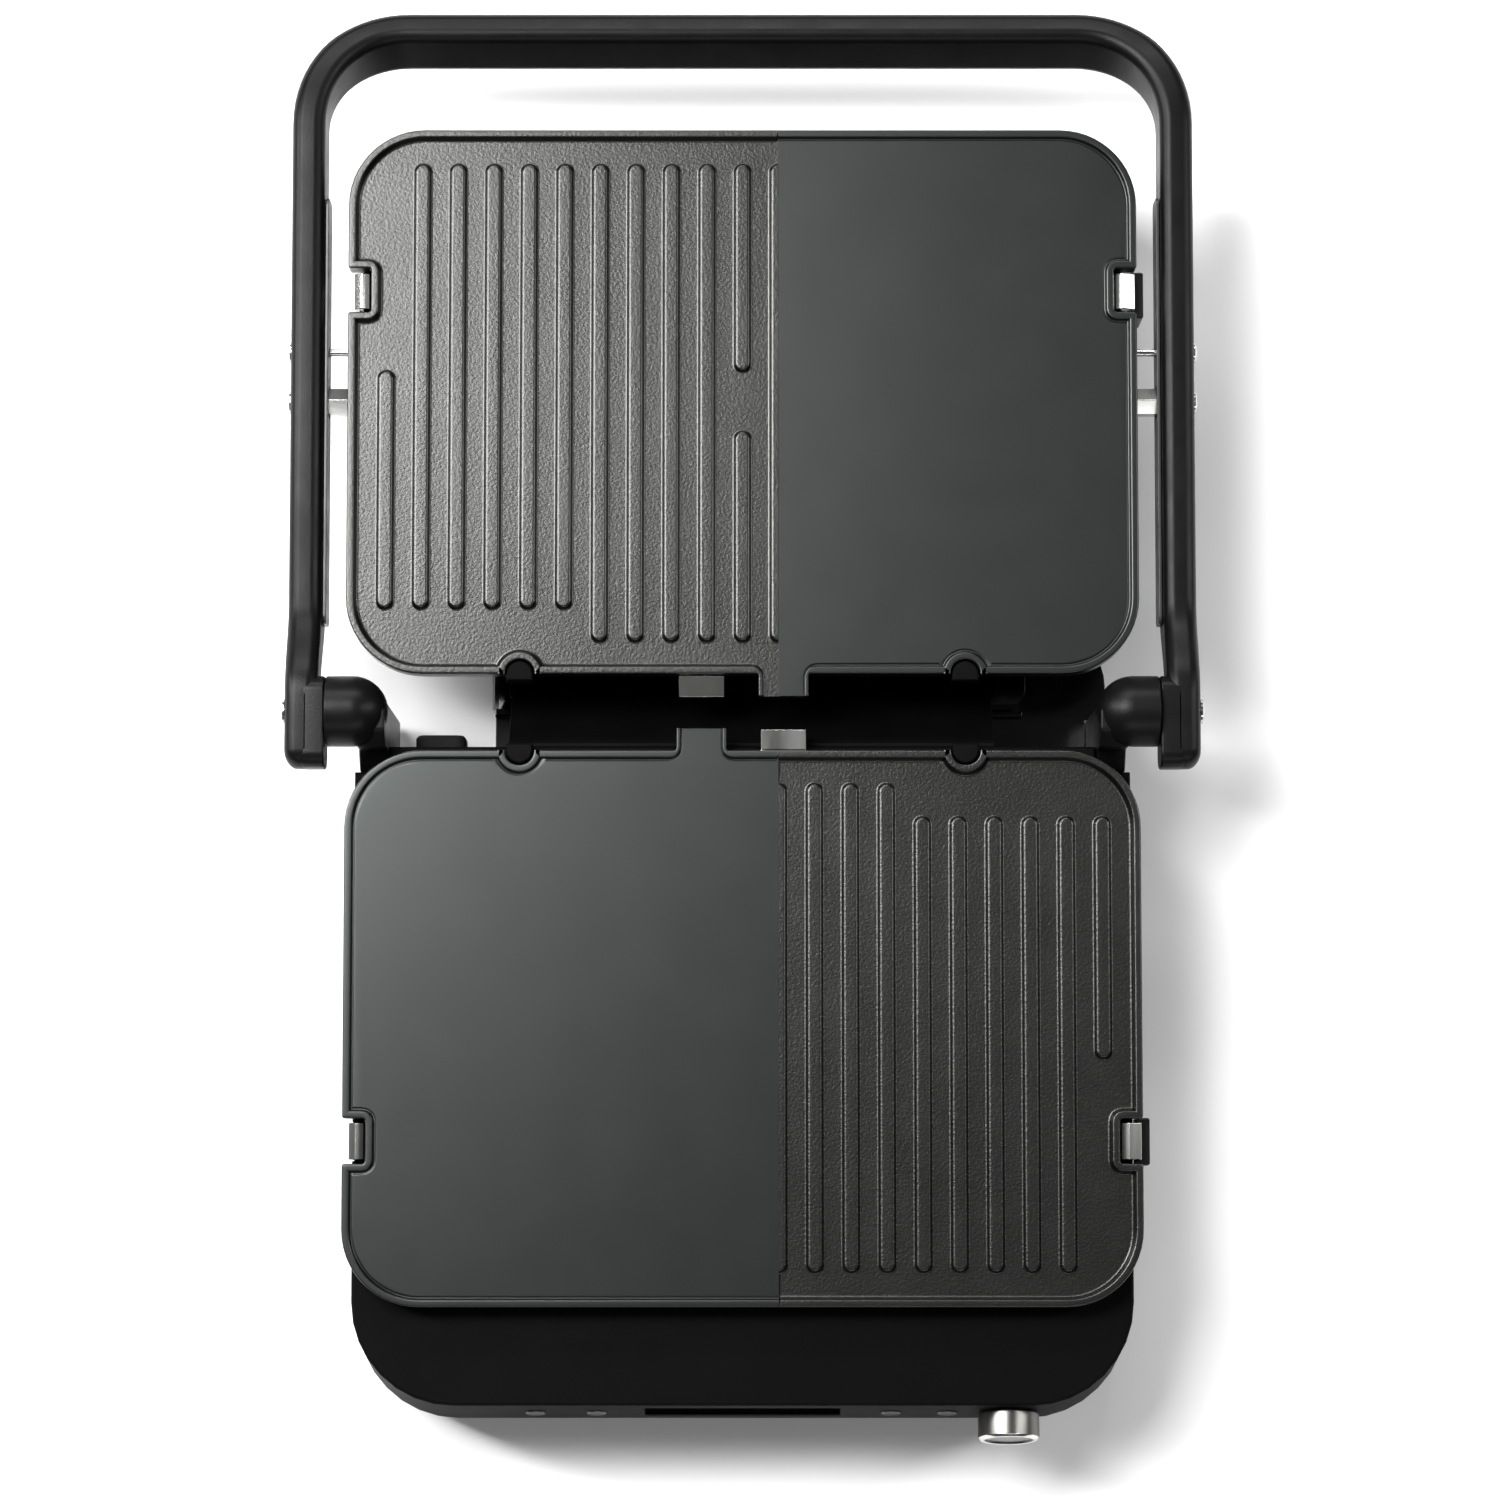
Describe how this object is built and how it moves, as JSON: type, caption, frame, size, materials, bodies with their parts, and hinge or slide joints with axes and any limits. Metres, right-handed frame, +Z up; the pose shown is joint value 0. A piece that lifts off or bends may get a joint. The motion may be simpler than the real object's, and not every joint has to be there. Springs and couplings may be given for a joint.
{
  "type": "panini press",
  "caption": "Flat-opening contact grill: base with controls and drip tray, floating upper housing on a U-shaped handle, removable half-ribbed half-smooth cooking plates.",
  "frame": {"origin": "on the table, under the middle of the fully open press", "axes": "+Z up, front with the controls towards -Y, upper housing and handle towards +Y, hinge line along X"},
  "size_m": [0.3602, 0.5672, 0.0948],
  "materials": {
    "cast_plate": "satin",
    "housing_black": "matte",
    "cover_black": "satin",
    "gloss_black": "gloss",
    "casting_black": "satin",
    "button_black": "satin",
    "panel_metal": "satin",
    "key_metal": "satin",
    "knob_metal": "satin",
    "window_black": "gloss",
    "steel": "polished",
    "sheet_aluminium": "satin",
    "heater_sheath": "matte",
    "rubber": "matte",
    "board_green": "satin",
    "liner_grey": "satin"
  },
  "bodies": {
    "base": {"base_shell": "housing_black", "base_bottom": "housing_black", "base_deck": "housing_black", "front_panel": "panel_metal", "display_window": "window_black", "control_board": "board_green", "encoder": "housing_black", "foot_front_left": "rubber", "foot_front_right": "rubber", "foot_rear_left": "rubber", "foot_rear_right": "rubber", "lower_plate": "cast_plate", "lower_reflector": "sheet_aluminium", "lower_heater": "heater_sheath", "lower_probe": "sheet_aluminium", "lower_hook_left": "housing_black", "lower_hook_right": "housing_black", "lower_spring_clip": "steel", "lower_fixed_tongue": "steel", "lower_latch_pin": "steel", "lower_latch_spring": "steel", "hinge_post_right": "casting_black", "hinge_post_left": "casting_black", "cord_gland": "rubber", "tray_carrier": "gloss_black", "drip_chute": "housing_black"},
    "handle": {"handle": "casting_black", "arm_liner_right": "liner_grey", "arm_liner_left": "liner_grey", "hinge_screw_right": "steel", "hinge_screw_left": "steel", "float_pin_right": "steel", "float_pin_left": "steel", "limit_pin_right": "steel", "limit_pin_left": "steel"},
    "lid": {"upper_frame": "housing_black", "upper_cover": "cover_black", "upper_plate": "cast_plate", "upper_reflector": "sheet_aluminium", "upper_heater": "heater_sheath", "upper_probe": "sheet_aluminium", "upper_hook_left": "housing_black", "upper_hook_right": "housing_black", "upper_spring_clip": "steel", "upper_fixed_tongue": "steel", "upper_latch_pin": "steel", "upper_latch_spring": "steel", "rest_pad_left": "rubber", "rest_pad_right": "rubber"},
    "lower_latch": {"lower_release_button": "button_black", "lower_latch_tongue": "steel"},
    "upper_latch": {"upper_release_button": "button_black", "upper_latch_tongue": "steel"},
    "tray": {"drip_tray": "gloss_black"},
    "selector": {"knob": "knob_metal", "knob_shaft": "steel"},
    "power_key": {"power_button": "key_metal"},
    "mode_key": {"mode_button": "key_metal"},
    "timer_down_key": {"timer_down_button": "key_metal"},
    "timer_up_key": {"timer_up_button": "key_metal"}
  },
  "joints": [
    {"name": "lid_hinge", "type": "hinge", "parent": "base", "child": "handle", "pos_m": [0, 0.005, 0.081], "axis": [1, 0, 0], "range_deg": [0, 180]},
    {"name": "lid_float", "type": "hinge", "parent": "handle", "child": "lid", "pos_m": [0, 0.13, 0.064], "axis": [-1, 0, 0], "range_deg": [-8, 0]},
    {"name": "lower_latch_turn", "type": "hinge", "parent": "base", "child": "lower_latch", "pos_m": [0.149, -0.162, 0.06], "axis": [0, 1, 0], "range_deg": [0, 12], "stiffness_Nm_per_rad": 0.12, "springref_deg": -20.05},
    {"name": "upper_latch_turn", "type": "hinge", "parent": "lid", "child": "upper_latch", "pos_m": [0.149, 0.172, 0.06], "axis": [0, 1, 0], "range_deg": [0, 12], "stiffness_Nm_per_rad": 0.12, "springref_deg": -20.05},
    {"name": "tray_slide", "type": "slide", "parent": "base", "child": "tray", "axis": [1, 0, 0], "range_m": [0, 0.2]},
    {"name": "knob_turn", "type": "hinge", "parent": "base", "child": "selector", "pos_m": [0.104, -0.2671, 0.0505], "axis": [0, -0.9806, 0.1961], "continuous": true},
    {"name": "power_press", "type": "slide", "parent": "base", "child": "power_key", "axis": [0, 0.9806, -0.1961], "range_m": [0, 0.001], "stiffness_N_per_m": 400, "springref_m": -0.002},
    {"name": "mode_press", "type": "slide", "parent": "base", "child": "mode_key", "axis": [0, 0.9806, -0.1961], "range_m": [0, 0.001], "stiffness_N_per_m": 400, "springref_m": -0.002},
    {"name": "timer_down_press", "type": "slide", "parent": "base", "child": "timer_down_key", "axis": [0, 0.9806, -0.1961], "range_m": [0, 0.001], "stiffness_N_per_m": 400, "springref_m": -0.002},
    {"name": "timer_up_press", "type": "slide", "parent": "base", "child": "timer_up_key", "axis": [0, 0.9806, -0.1961], "range_m": [0, 0.001], "stiffness_N_per_m": 400, "springref_m": -0.002}
  ]
}
